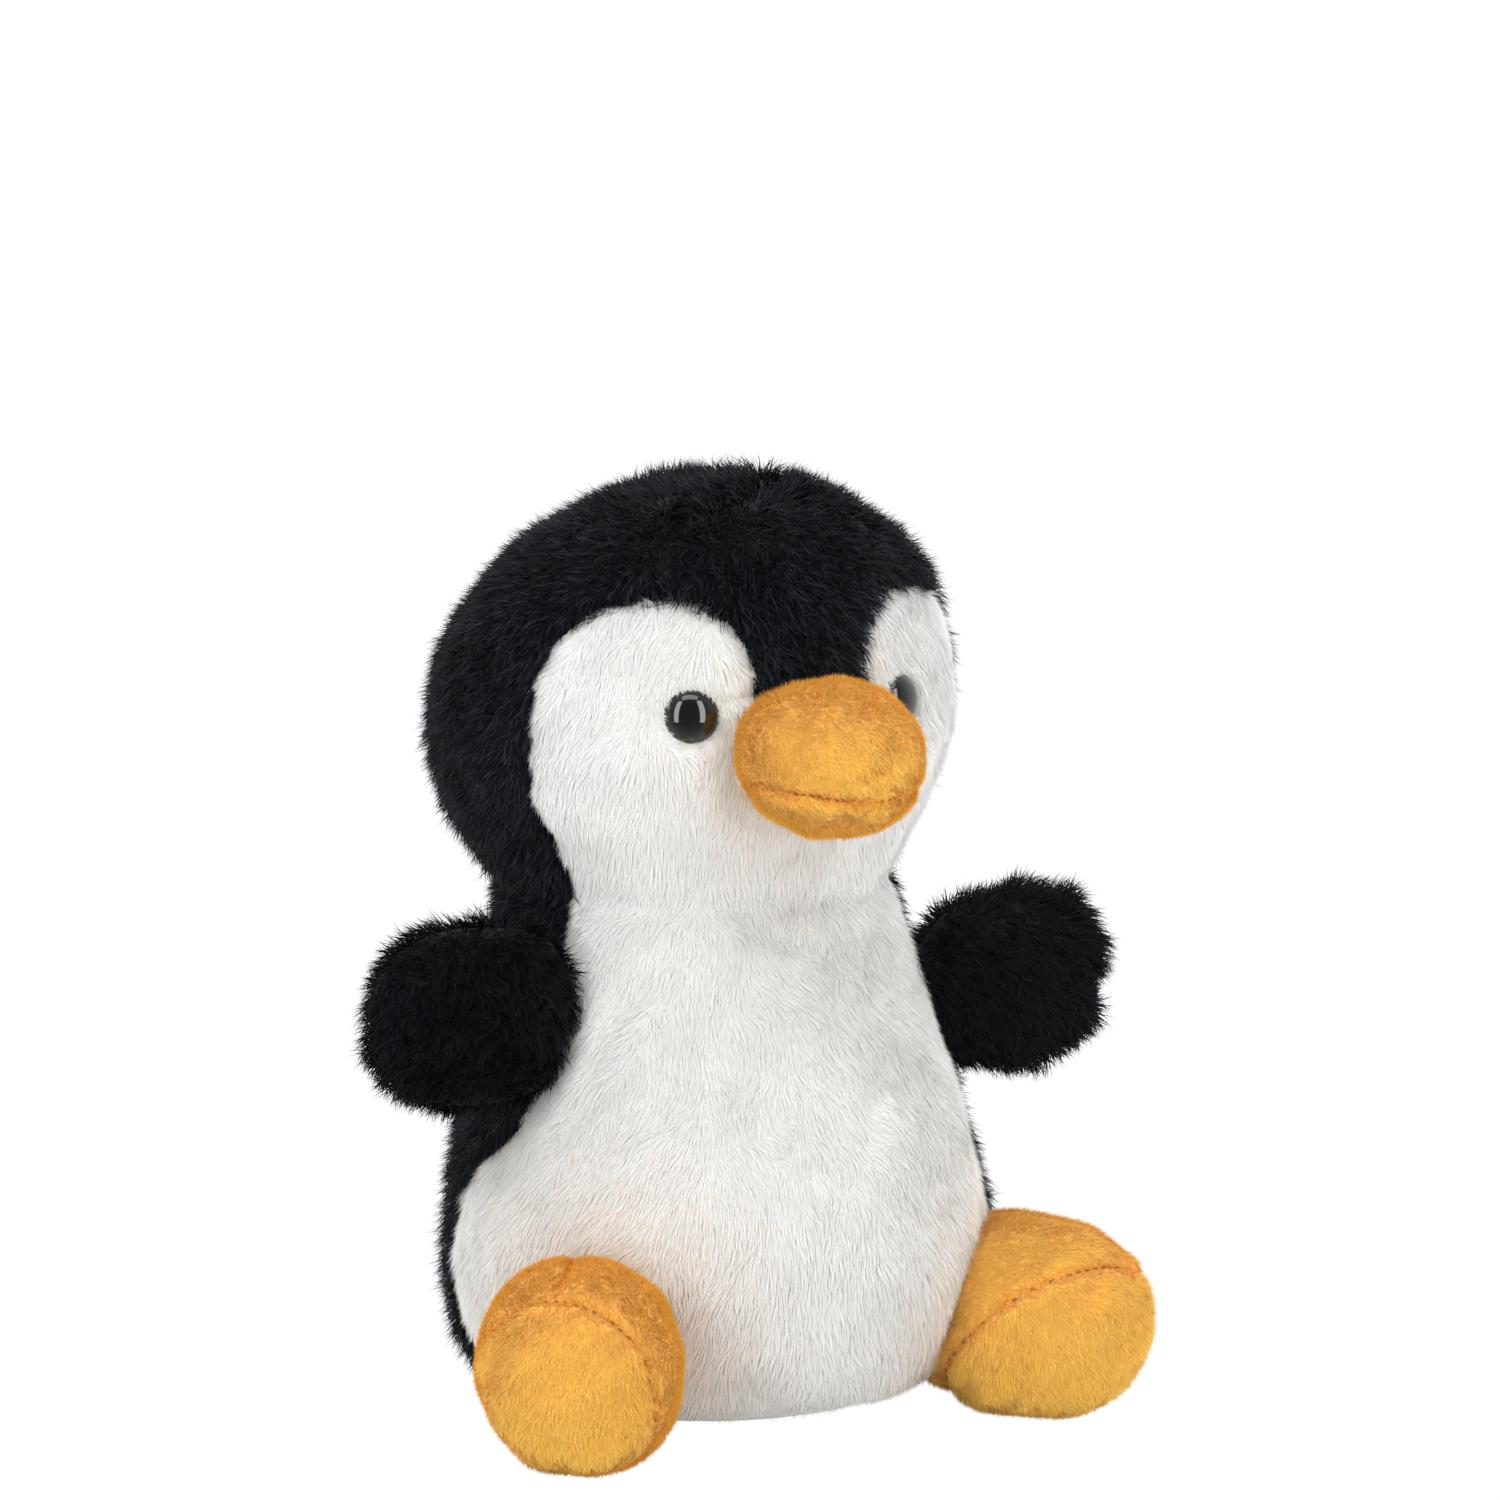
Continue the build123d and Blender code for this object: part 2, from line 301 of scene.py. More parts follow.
def pile_piece(name, roots, facing, nap, length, comb, tones, seed, tone=None):
    """Pile as thousands of tapering ribbons. Each leaves its root between the cloth's normal
    and the nap: the comb's stand is how upright it is, from 0 to 1. Long pile bends half way;
    short pile is one straight blade."""
    draw = np.random.default_rng(seed)
    count = len(roots)
    nap = unit(nap - facing * np.sum(nap * facing, -1, keepdims=True))
    stand = comb["stand"]
    length = (np.broadcast_to(length, (count,)) * draw.uniform(0.7, 1.2, count))[:, None]
    stray = draw.normal(size=(count, 3)) * comb["stray"]
    low = unit(facing * (stand + 0.12) + nap * (1.0 - stand) + stray)
    flat_side = unit(np.cross(low, facing) + 1e-6)
    deep_side = np.cross(low, flat_side)
    roll = draw.uniform(-1, 1, (count, 1)) * comb["roll"]
    side = (flat_side * np.cos(roll) + deep_side * np.sin(roll)) * comb["width"]
    if comb["bend"]:
        high = unit(facing * (stand - 0.12) + nap * (1.15 - stand) + stray * 1.5)
        middle = roots + low * length * 0.5
        corners = np.stack([roots - side * 0.5, roots + side * 0.5, middle + side * 0.42,
                            middle - side * 0.42, middle + high * length * 0.5], 1)
        corner_order, sizes = np.array([0, 1, 2, 3, 3, 2, 4]), [4, 3]
    else:
        corners = np.stack([roots - side * 0.5, roots + side * 0.5, roots + low * length], 1)
        corner_order, sizes = np.array([0, 1, 2]), [3]
    loops = np.arange(count)[:, None] * corners.shape[1] + corner_order
    if tone is None:
        tone = draw.integers(0, len(tones), count)
    return mesh_object(name, corners.reshape(-1, 3), loops.ravel(), np.tile(sizes, count), tones,
                       np.repeat(tone, len(sizes)))


COLUMNS, ROWS = 321, 300
along = np.linspace(0, BODY_SPAN, ROWS)
lon_grid, along_grid = np.meshgrid(np.linspace(-np.pi, np.pi, COLUMNS), along)
outline = body(lon_grid, along_grid)
outline_normals = grid_normals(outline)
height = outline[..., 2]
degrees = np.degrees(lon_grid)
aside = np.abs(degrees)
latitude = np.degrees(np.arcsin(np.clip((height - HEAD_MIDDLE[1]) / HEAD_RADII[2], -1, 1)))

# White lobes: a rounded square about each eye on the head, open below towards the throat.
LOBE_MIDDLE, LOBE_HALF_WIDTH, LOBE_LOW, LOBE_HALF_HEIGHT, LOBE_POWER = 39.5, 26.0, 8.0, 27.0, 2.3
rise = np.clip(latitude - LOBE_LOW, 0, None) / LOBE_HALF_HEIGHT
inward = np.where((latitude < LOBE_LOW) & (aside < LOBE_MIDDLE), 0, np.abs(aside - LOBE_MIDDLE))
inward = inward * np.where((degrees > LOBE_MIDDLE) & (latitude < 30), 0.80, 1.0)
face_field = 1 - (inward / LOBE_HALF_WIDTH) ** LOBE_POWER - rise ** LOBE_POWER
face_field += 0.05 * ripple(outline, 9.0, 5)[..., 0]
# White belly: its edge by height, on the toy's right and left, in degrees from the front.
BELLY_HEIGHTS = [0, 19, 33, 45, 55, 61, 75, 88, 102]
RIGHT_EDGE = [100, 108, 114, 108, 94, 82, 72, 70, 67]
LEFT_EDGE = [66, 66, 66, 66, 67, 68, 68, 67, 65]
belly_edge = np.where(degrees < 0, np.interp(height, BELLY_HEIGHTS, RIGHT_EDGE),
                      np.interp(height, BELLY_HEIGHTS, LEFT_EDGE))
belly_field = (belly_edge - aside) / 25.0 + 0.03 * ripple(outline, 9.0, 6)[..., 0]
CROWN_HALF = 15.0
CROWN_LOW = 146.0
SEAT_TOP = 5.0
on_head = height > NECK
white_field = np.where(on_head, face_field, belly_field)

drawn_in = CLOTH_DEPTH + seam_depth(white_field, outline, 1.6, 2.2)
neck_line = seam_depth((height - NECK) / 25.0, outline, 1.3, 2.5)
drawn_in = np.maximum(drawn_in, CLOTH_DEPTH + neck_line)
EYE_SUNK = 4.7
EYE_CLEAR = 5.2
eye_place = np.array([24.0, -32.0, 137.2])
nearest = np.argmin(np.linalg.norm(outline - eye_place, axis=-1))
eye_axis = outline_normals.reshape(-1, 3)[nearest]
eye_seat = outline.reshape(-1, 3)[nearest] - eye_axis * EYE_SUNK


def eye_gap(points, side):
    """Distance of points from the line an eye is pressed in along, and the way to that line."""
    axis, seat = eye_axis * [side, 1, 1], eye_seat * [side, 1, 1]
    apart = seat - points
    apart = apart - axis * np.sum(apart * axis, -1, keepdims=True)
    behind = np.sum((points - seat) * axis, -1) < -15
    return np.linalg.norm(apart, axis=-1) + 99.0 * behind, unit(apart)


def crease(points, start, end, deep, wide):
    """A soft valley along a straight fold: a bell of the distance from a line between two
    places, in millimetres."""
    start, end = np.array(start), np.array(end)
    run = np.clip(np.sum((points - start) * (end - start), -1) / np.sum((end - start) ** 2), 0, 1)
    away = np.linalg.norm(points - start - run[..., None] * (end - start), axis=-1)
    return deep * np.exp(-(away / wide) ** 2)


for side in (-1, 1):
    drawn_in += 1.6 * np.exp(-(eye_gap(outline, side)[0] / 7.5) ** 2)
FOLDS = [((-9.5, -27.7, 98.5), (6.1, -30.4, 92.2), 1.0, 2.4),
         ((-29.6, -22.1, 86.5), (-38.4, -19.0, 73.8), 1.1, 3.2),
         ((-43.4, -16.8, 64.8), (-7.0, -41.8, 66.2), 0.5, 2.6),
         ((31.0, -19.0, 88.0), (39.0, -18.0, 72.0), 0.8, 3.5)]
for start, end, deep, wide in FOLDS:
    drawn_in += crease(outline, start, end, deep, wide)
sag = 0.55 * ripple(outline, 34.0, 11)[..., 0] + 0.25 * ripple(outline, 15.0, 12)[..., 0]
sag *= np.clip(height / 12.0, 0, 1)
cloth = outline - outline_normals * (drawn_in - sag)[..., None]
cloth[..., 2] = np.maximum(cloth[..., 2], 0.4)
cloth[:, -1] = cloth[:, 0]
cloth_normals = grid_normals(cloth)

cells = grid_quads(ROWS, COLUMNS)


def at_cells(values):
    """A grid value averaged over each cell's four corners."""
    return values.ravel()[cells].mean(1)


cell_high, cell_lon = at_cells(height), at_cells(degrees)
cell_x = at_cells(outline[..., 0])
white = at_cells(white_field) > 0
head_cell = cell_high > NECK
crown_cell = head_cell & ~white & (np.abs(cell_x) < CROWN_HALF) & (cell_high > CROWN_LOW)
seat_cell = cell_high < SEAT_TOP
behind_cell = ~white & ~crown_cell & ~seat_cell
panels = {
    "crown_panel": crown_cell,
    "face_panel_left": head_cell & white & (cell_lon > 0),
    "face_panel_right": head_cell & white & (cell_lon < 0),
    "head_back_panel_left": head_cell & behind_cell & (cell_lon > 0),
    "head_back_panel_right": head_cell & behind_cell & (cell_lon < 0),
    "belly_panel": ~head_cell & white & ~seat_cell,
    "back_panel_left": ~head_cell & behind_cell & (cell_lon > 0),
    "back_panel_right": ~head_cell & behind_cell & (cell_lon < 0),
    "seat_panel": seat_cell,
}


def plush_cloth(name, dark, light, wave):
    """Knitted backing under the pile: two shades mixed by soft noise, with a fine bump."""
    material, shader = node_material(name, light, 0.85)
    nodes, links = material.node_tree.nodes, material.node_tree.links
    place = nodes.new("ShaderNodeTexCoord")
    noise = nodes.new("ShaderNodeTexNoise")
    noise.inputs["Scale"].default_value = wave
    noise.inputs["Detail"].default_value = 4.0
    ramp = nodes.new("ShaderNodeValToRGB")
    ramp.color_ramp.elements[0].position = 0.35
    ramp.color_ramp.elements[0].color = (*dark, 1)
    ramp.color_ramp.elements[1].position = 0.65
    ramp.color_ramp.elements[1].color = (*light, 1)
    bump = nodes.new("ShaderNodeBump")
    bump.inputs["Strength"].default_value = 0.25
    bump.inputs["Distance"].default_value = 0.0004
    links.new(place.outputs["Object"], noise.inputs["Vector"])
    links.new(noise.outputs["Fac"], ramp.inputs["Fac"])
    links.new(ramp.outputs["Color"], shader.inputs["Base Color"])
    links.new(noise.outputs["Fac"], bump.inputs["Height"])
    links.new(bump.outputs["Normal"], shader.inputs["Normal"])
    shader.inputs["Specular IOR Level"].default_value = 0.2
    shader.inputs["Sheen Weight"].default_value = 0.3
    return material


def pile_tones(name, shades, roughness, sheen, specular):
    """One plain material for each shade of pile fibre."""
    tones = []
    for number, shade in enumerate(shades):
        material, shader = node_material(f"{name}_{number}", shade, roughness)
        shader.inputs["Sheen Weight"].default_value = sheen
        shader.inputs["Sheen Roughness"].default_value = 0.4
        shader.inputs["Specular IOR Level"].default_value = specular
        tones.append(material)
    return tones


black_cloth = plush_cloth("black_plush_cloth", (0.004, 0.0045, 0.006), (0.009, 0.01, 0.013), 700.0)
white_cloth = plush_cloth("white_plush_cloth", (0.80, 0.81, 0.79), (0.90, 0.90, 0.88), 500.0)
# Black pile shades: the first three are the fibre's own near-blacks; the fourth, lighter one is a
# painted highlight, glints on scattered fibres.
black_tones_and_glint = pile_tones("black_pile", [(0.0035, 0.004, 0.006), (0.005, 0.006, 0.009),
                                        (0.007, 0.0085, 0.013), (0.03, 0.034, 0.045)],
                         0.5, 0.0, 0.12)
# White pile shades: three whites of the fibre's own, and two warm ones that are painted orange
# light bounced from the feet and beak.
white_tones_and_bounce = pile_tones("white_pile", [(0.90, 0.905, 0.89), (0.94, 0.94, 0.925),
                                        (0.97, 0.97, 0.955), (0.94, 0.87, 0.81),
                                        (0.93, 0.81, 0.71)],
                         0.8, 0.2, 0.1)

COMB = {"black": dict(density=5.2, length=4.3, width=0.20, stand=0.50, stray=0.16, roll=0.9,
                      bend=True),
        "white": dict(density=10.5, length=2.7, width=0.19, stand=0.20, stray=0.085, roll=0.25,
                      bend=False)}


def body_nap(points):
    """Which way the pile is combed: down and a little back, wandering from lock to lock."""
    downward = np.array([0.0, 0.30, -1.0]) + 0 * points
    return downward + 0.25 * ripple(points, 22.0, 21) + 0.18 * ripple(points, 6.5, 22)


def orange_bounce_tint(points, seed):
    """Which shade each white fibre has: one of three whites, or a warm one near the feet and
    the beak, the likelier the nearer; the warm ones are painted orange light bounced from them."""
    draw = np.random.default_rng(seed)
    tone = draw.integers(0, 3, len(points))
    side = np.abs(points[:, 0])
    foot_gap = np.linalg.norm((np.stack([side, points[:, 1], points[:, 2]], -1)
                               - [46.0, -34.0, 20.0]) / [1.0, 1.0, 1.1], axis=-1) - 20.0
    beak_gap = np.linalg.norm(points - [0.0, -38.0, 128.0], axis=-1) - 17.0
    likely = np.maximum(0.85 * np.exp(-np.clip(foot_gap, 0, None) / 11.0),
                        0.55 * np.exp(-np.clip(beak_gap, 0, None) / 7.0))
    warm = draw.uniform(size=len(points)) < likely
    return np.where(warm, 3 + (draw.uniform(size=len(points)) < 0.3), tone)


for number, (name, chosen) in enumerate(panels.items()):
    is_white = name.startswith(("face", "belly", "seat"))
    colour = "white" if is_white else "black"
    panel = cloth_piece(f"{name}_cloth", cloth, cells[chosen],
                        white_cloth if is_white else black_cloth)
    pieces = [panel]
    if name != "seat_panel":
        comb = COMB[colour]
        roots, facing = scatter(cloth, cloth_normals, cells[chosen], comb["density"],
                                100 + number)[:2]
        eye_side = np.where(roots[:, :1] > 0, 1, -1)
        near_eye, to_eye = eye_gap(roots * np.concatenate([eye_side, 1 + 0 * roots[:, 1:]], 1), 1)
        to_eye = to_eye * np.concatenate([eye_side, 1 + 0 * roots[:, 1:]], 1)
        inside_beak = np.hypot(roots[:, 0] / 15.0, (roots[:, 2] - 130.0) / 12.5) < 1
        inside_beak &= (roots[:, 1] < 0) & (roots[:, 2] > 100)
        keep = (near_eye > EYE_CLEAR) & ~inside_beak
        roots, facing, near_eye, to_eye = roots[keep], facing[keep], near_eye[keep], to_eye[keep]
        tuft = 1 + 0.16 * ripple(roots, 12.0, 31)[:, 0]
        length = comb["length"] * tuft * np.clip(near_eye / 9.0, 0.6, 1.0)
        pressed = 1.6 * np.exp(-((near_eye - EYE_CLEAR) / 1.6) ** 2)
        nap = body_nap(roots) + to_eye * pressed[:, None]
        tone = None
        upright = 0.45 * np.exp(-((near_eye - EYE_CLEAR) / 2.2) ** 2)
        comb = dict(comb, stand=(comb["stand"] + upright)[:, None])
        # White fibres near the feet and beak take warm shades, painted bounce light from the
        # orange.
        if colour == "white":
            tone = orange_bounce_tint(roots, 220 + number)
        pile = pile_piece(f"{name}_pile", roots, facing, nap, length, comb,
                          black_tones_and_glint if colour == "black" else white_tones_and_bounce, 200 + number, tone)
        pieces.append(pile)
    for piece in pieces:
        if name == "crown_panel":
            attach(piece, "head")
        elif name == "seat_panel":
            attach(piece, "torso")
        else:
            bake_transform(piece)
    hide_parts(name)

# ---------------------------------------------------------------------------
# Filling: polyester fibre in the head and torso, with a bag of plastic pellets in the seat.
# It is closed in by the sewn cover and never seen.
# ---------------------------------------------------------------------------
FILL_SHRINK = 0.79
stuffing = plush_cloth("stuffing_fibre", (0.78, 0.78, 0.76), (0.93, 0.93, 0.92), 260.0)


def closed_piece(name, points, quads, material):
    """Closed shapes as one piece with no wall, merged where their ends and sides meet."""
    piece = cloth_piece(name, points, quads, material)
    piece.modifiers.clear()
    return piece


def closed_grid(name, points, material):
    """A whole grid of points as one closed piece: its columns meet and its ends are poles."""
    return closed_piece(name, points, grid_quads(*points.shape[:2]), material)


whole_head = head_ovals(np.radians(np.linspace(-90, 90, 13)))
torso_fill = np.concatenate([TORSO_OVALS, [(NECK - 2, 30.0, 28.0, 9.0), (NECK - 2, 0.0, 0.0, 9.0)]])
for name, knots, rider in (("head_stuffing", whole_head, "head"),
                           ("torso_stuffing", torso_fill, "torso")):
    packed = knots.copy()
    middle = knots[:, 0].mean()
    packed[:, 0] = middle + (packed[:, 0] - middle) * FILL_SHRINK
    packed[:, 1:3] *= FILL_SHRINK
    lon, up = np.meshgrid(np.linspace(-np.pi, np.pi, 65), np.linspace(0, len(packed) - 1.0, 60))
    fill = closed_grid(f"{name}_fibre", body(lon, up, packed), stuffing)
    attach(fill, rider)
    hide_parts(name)

pellet_cloth = plush_cloth("pellet_bag_cloth", (0.80, 0.80, 0.77), (0.90, 0.90, 0.88), 900.0)
pellet_beads = plush_cloth("pellet_beads", (0.70, 0.72, 0.72), (0.88, 0.89, 0.89), 420.0)
for name, material in (("pellet_bag", pellet_cloth), ("pellet_fill", pellet_beads)):
    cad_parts[name].data.materials.clear()
    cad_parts[name].data.materials.append(material)

# ---------------------------------------------------------------------------
# Eyes: polished black plastic domes with a thin rim, pressed into the pile and held by a
# shank and washer behind the cloth.
# ---------------------------------------------------------------------------
EYE_RADIUS = 5.25
EYE_HEIGHT = 3.6
# The back of the button and its shank, from the rim to the shank's end
BACK_STAGES = [0, 0.2, 0.6, 0.9, 1.0]
BACK_RADII = [EYE_RADIUS, 5.0, 1.6, 1.6, 0.0]
BACK_HEIGHTS = [0.0, -0.9, -1.1, -8.0, -8.2]

eye_gloss, eye_shader = node_material("eye_gloss", (0.006, 0.005, 0.005), 0.06)
eye_shader.inputs["Coat Weight"].default_value = 0.6
eye_shader.inputs["Coat Roughness"].default_value = 0.03
eye_noise = eye_gloss.node_tree.nodes.new("ShaderNodeTexNoise")
eye_noise.inputs["Scale"].default_value = 900.0
eye_range = eye_gloss.node_tree.nodes.new("ShaderNodeMapRange")
eye_range.inputs["To Min"].default_value = 0.04
eye_range.inputs["To Max"].default_value = 0.09
eye_place_node = eye_gloss.node_tree.nodes.new("ShaderNodeTexCoord")
eye_gloss.node_tree.links.new(eye_place_node.outputs["Object"], eye_noise.inputs["Vector"])
eye_gloss.node_tree.links.new(eye_noise.outputs["Fac"], eye_range.inputs["Value"])
eye_gloss.node_tree.links.new(eye_range.outputs["Result"], eye_shader.inputs["Roughness"])


def eye_dome(up):
    """A button's profile: from the front pole the radius grows as the sine and the height
    falls as the cosine, then a short rim, a flat back and a thin shank."""
    stage = np.clip(up, 0, 1) * np.pi / 2
    radius = EYE_RADIUS * np.sin(stage)
    rise = EYE_HEIGHT * np.cos(stage)
    back = np.clip(up - 1, 0, None)
    radius = np.where(back > 0, np.interp(back, BACK_STAGES, BACK_RADII), radius)
    rise = np.where(back > 0, np.interp(back, BACK_STAGES, BACK_HEIGHTS), rise)
    return radius, rise


turn, up = np.meshgrid(np.linspace(0, 2 * np.pi, 65), np.linspace(0, 2, 61))
eye_across = unit(np.cross([0, 0, 1.0], eye_axis))
eye_upward = np.cross(eye_axis, eye_across)
radius, rise = eye_dome(up)
eye_grid = (eye_seat + (radius * np.cos(turn))[..., None] * eye_across
            + (radius * np.sin(turn))[..., None] * eye_upward + rise[..., None] * eye_axis)
# The washer behind the cloth: a disc with a square edge, its profile as radius and depth
washer_plastic = plush_cloth("washer_plastic", (0.78, 0.78, 0.75), (0.86, 0.86, 0.83), 120.0)
washer_up = np.linspace(0, 3, 25)
washer_radius = np.interp(washer_up, [0, 1, 2, 3], [0.0, 5.0, 5.0, 0.0])[:, None]
washer_depth = np.interp(washer_up, [0, 1, 2, 3], [-3.0, -3.0, -4.2, -4.2])[:, None, None]
washer_turn = np.linspace(0, 2 * np.pi, 49)
washer_grid = (eye_seat + (washer_radius * np.cos(washer_turn))[..., None] * eye_across
               + (washer_radius * np.sin(washer_turn))[..., None] * eye_upward
               + washer_depth * eye_axis)
for name, side in (("eye_left", 1), ("eye_right", -1)):
    points = eye_grid * [side, 1, 1]
    button = closed_grid(f"{name}_button", points[:, ::-side], eye_gloss)
    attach(button, "head")
    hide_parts(name)
    washer = closed_grid(f"eye_washer_{name[4:]}_disc", (washer_grid * [side, 1, 1])[:, ::-side],
                         washer_plastic)
    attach(washer, "head")
    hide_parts(f"eye_washer_{name[4:]}")

# ---------------------------------------------------------------------------
# Wings: two ovals of black plush sewn back to back, lightly filled, and caught in the side
# seams. They stand straight out and swing forward and back on the seam.
# ---------------------------------------------------------------------------
WING_MIDDLE = np.array([57.2, -9.5, 82.2])
WING_HALF = (24.2, 9.4, 19.9)
WING_TILT = np.radians(4.0)
WING_SHIFT = {1: (-1.2, -1.5, -1.4), -1: (0.0, 0.0, 0.3)}
WING_DEPTH = 2.6
WING_FILL = 0.62


def wing(ring, across, side, size=1.0):
    """A flattened egg: the ring angle goes round its outline from the tip, and the other from
    its front face to its back. The outline is a little squared, and the left one is nicked."""
    lobe = 1 + 0.025 * np.cos(4 * (ring - np.pi / 4)) + 0.02 * np.cos(ring)
    if side > 0:
        lobe = lobe - 0.13 * np.exp(-((np.angle(np.exp(1j * (ring + 0.26)))) / 0.14) ** 2)
    round_in = np.cos(across) ** 0.8
    x = WING_HALF[0] * lobe * np.cos(ring) * round_in * size
    z = WING_HALF[2] * lobe * np.sin(ring) * round_in * size
    y = WING_HALF[1] * np.sin(across) * size
    turned = np.stack([x * np.cos(WING_TILT) - z * np.sin(WING_TILT), y,
                       x * np.sin(WING_TILT) + z * np.cos(WING_TILT)], -1)
    return (WING_MIDDLE + WING_SHIFT[side] + turned) * [side, 1, 1]


for number, (hand, side) in enumerate((("left", 1), ("right", -1))):
    ring, across = np.meshgrid(np.linspace(0, 2 * np.pi, 145),
                               np.linspace(-np.pi / 2, np.pi / 2, 73))
    form = wing(ring, across, side)
    form_normals = grid_normals(form)
    edge = seam_depth(across, form, 0.9, 1.8)
    lump = 0.5 * ripple(form, 19.0, 41 + number)[..., 0]
    skin = form - form_normals * (WING_DEPTH + edge - lump)[..., None]
    skin[:, -1] = skin[:, 0]
    wing_cells = grid_quads(*skin.shape[:2])
    front_cells = across.ravel()[wing_cells].mean(1) < 0
    for face, chosen in (("front", front_cells), ("back", ~front_cells)):
        name = f"wing_{hand}_{face}_panel"
        panel = cloth_piece(f"{name}_cloth", skin, wing_cells[chosen], black_cloth)
        roots, facing = scatter(skin, grid_normals(skin), wing_cells[chosen],
                                COMB["black"]["density"], 300 + number)[:2]
        nap = (np.array([side * 0.75, 0, -0.65]) + 0.5 * ripple(roots, 14.0, 51)
               + 0.35 * ripple(roots, 6.0, 52))
        # The wings take only the first three black shades and leave out the painted glint shade.
        pile = pile_piece(f"{name}_pile", roots, facing, nap,
                          4.2 * (1 + 0.15 * ripple(roots, 10.0, 53)[:, 0]), COMB["black"],
                          black_tones_and_glint[:3], 310 + number)
        for piece in (panel, pile):
            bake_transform(piece)
        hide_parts(name)
    fill = closed_grid(f"wing_{hand}_stuffing_fibre",
                       wing(ring, across, side, WING_FILL)[::3, ::3], stuffing)
    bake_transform(fill)
    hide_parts(f"wing_{hand}_stuffing")

# ---------------------------------------------------------------------------
# Beak: two cupped panels of short orange plush, sewn together along the mouth with a
# visible brown thread, filled firm and sewn to the face.
# ---------------------------------------------------------------------------
BEAK_MIDDLE = np.array([0.0, -40.5, 129.8])
BEAK_HALF = (17.4, 19.0, 15.2)
MOUTH = 122.6
SHORT_DEPTH = 0.9
FIRM_FILL = 0.8

orange_cloth = plush_cloth("orange_plush_cloth", (0.96, 0.54, 0.09), (0.99, 0.64, 0.14), 900.0)
# Orange pile shades: three of the fibre's own, and a deep orange that is mostly painted shade in
# the seams.
orange_tones_and_seam_shade = pile_tones("orange_pile", [(1.0, 0.58, 0.09), (1.0, 0.64, 0.12),
                                          (1.0, 0.72, 0.19), (0.92, 0.38, 0.04)],
                          0.8, 0.4, 0.1)
SHORT_COMB = dict(width=0.17, stand=0.36, stray=0.18, roll=0.5, bend=False)
thread_material = plush_cloth("seam_thread", (0.30, 0.07, 0.012), (0.48, 0.13, 0.02), 1500.0)


def power_wave(wave, power):
    """A sine or cosine raised to a power, its sign kept."""
    return np.sign(wave) * np.abs(wave) ** power


def beak(ring, reach, size=1.0):
    """A plump wedge: rounded-square cross-sections about an axis to the front. The reach
    angle runs from the tip, at the pole, to the root inside the face."""
    round_in = np.sin(reach) ** 0.92
    x = BEAK_HALF[0] * round_in * power_wave(np.cos(ring), 0.92)
    z = BEAK_HALF[2] * round_in * power_wave(np.sin(ring), 0.92)
    z = np.where(z < 0, z * 0.97, z * 0.94) - 1.6 * np.cos(reach)
    y = -BEAK_HALF[1] * np.cos(reach)
    return BEAK_MIDDLE + np.stack([x, y, z], -1) * size


def short_pile(name, points, cells, seam, density, seed, nap_way):
    """Brushed short pile over cloth cells, cropped where a seam draws it in and darker there with
    painted shade.
    """
    roots, facing, cell = scatter(points, grid_normals(points), cells, density, seed)
    pinched = seam.ravel()[cells[cell]].mean(1)
    nap = nap_way + 0.22 * ripple(roots, 9.0, seed + 1) + 0.2 * ripple(roots, 3.2, seed + 2)
    length = 1.5 * np.clip(1 - 0.7 * pinched, 0.25, 1)
    draw = np.random.default_rng(seed + 3)
    # Painted shade: fibres in a seam's recess take the deep orange, the likelier the deeper; a few
    # elsewhere take it at random.
    deep = draw.uniform(size=len(roots)) < 0.75 * pinched + 0.03
    tone = np.where(deep, 3, draw.integers(0, 3, len(roots)))
    return pile_piece(name, roots, facing, nap, length, SHORT_COMB, orange_tones_and_seam_shade, seed + 4, tone)


def seam_path(points, normals, field):
    """Where a field falls through zero down each column of a grid: places and normals, each
    between two rows in the share that makes the field zero."""
    falls = (field[:-1] > 0) & (field[1:] <= 0)
    columns = np.nonzero(falls.any(0))[0]
    rows = falls.argmax(0)[columns]
    above, below = field[rows, columns], field[rows + 1, columns]
    share = (above / (above - below))[:, None]
    place = points[rows, columns] * (1 - share) + points[rows + 1, columns] * share
    return place, unit(normals[rows, columns])


def stitches(name, path, normals, spacing, size, material, seed):
    """A row of short thread stitches along a path: each is a small six-sided spindle, longer
    along the seam than across, and some are buried in the pile."""
    draw = np.random.default_rng(seed)
    run = np.concatenate([[0], np.cumsum(np.linalg.norm(np.diff(path, axis=0), axis=1))])
    at = np.arange(spacing, run[-1] - spacing, spacing)
    at = at[draw.uniform(size=len(at)) < 0.7] + draw.uniform(-0.3, 0.3) * spacing
    centre, later, out = (np.stack([np.interp(far, run, rows[:, k]) for k in range(3)], -1)
                          for far, rows in ((at, path), (at + 0.3, path), (at, normals)))
    ahead, out = unit(later - centre + draw.normal(size=centre.shape) * 0.08), unit(out)
    centre = centre + out * draw.uniform(0.15, 0.5, (len(at), 1))
    sideways = np.cross(out, ahead)
    angle = np.linspace(0, 2 * np.pi, 7)[None, None, :, None]
    station = np.linspace(-1, 1, 6)[None, :, None, None]
    long_way = ahead[:, None, None] * (size[0] * station)
    round_way = out[:, None, None] * np.cos(angle) + sideways[:, None, None] * np.sin(angle)
    points = centre[:, None, None] + long_way + round_way * np.sqrt(1 - station ** 2) * size[1]
    quads = (np.arange(len(at))[:, None, None] * 42 + grid_quads(6, 7)[None]).reshape(-1, 4)
    return closed_piece(name, points, quads, material)


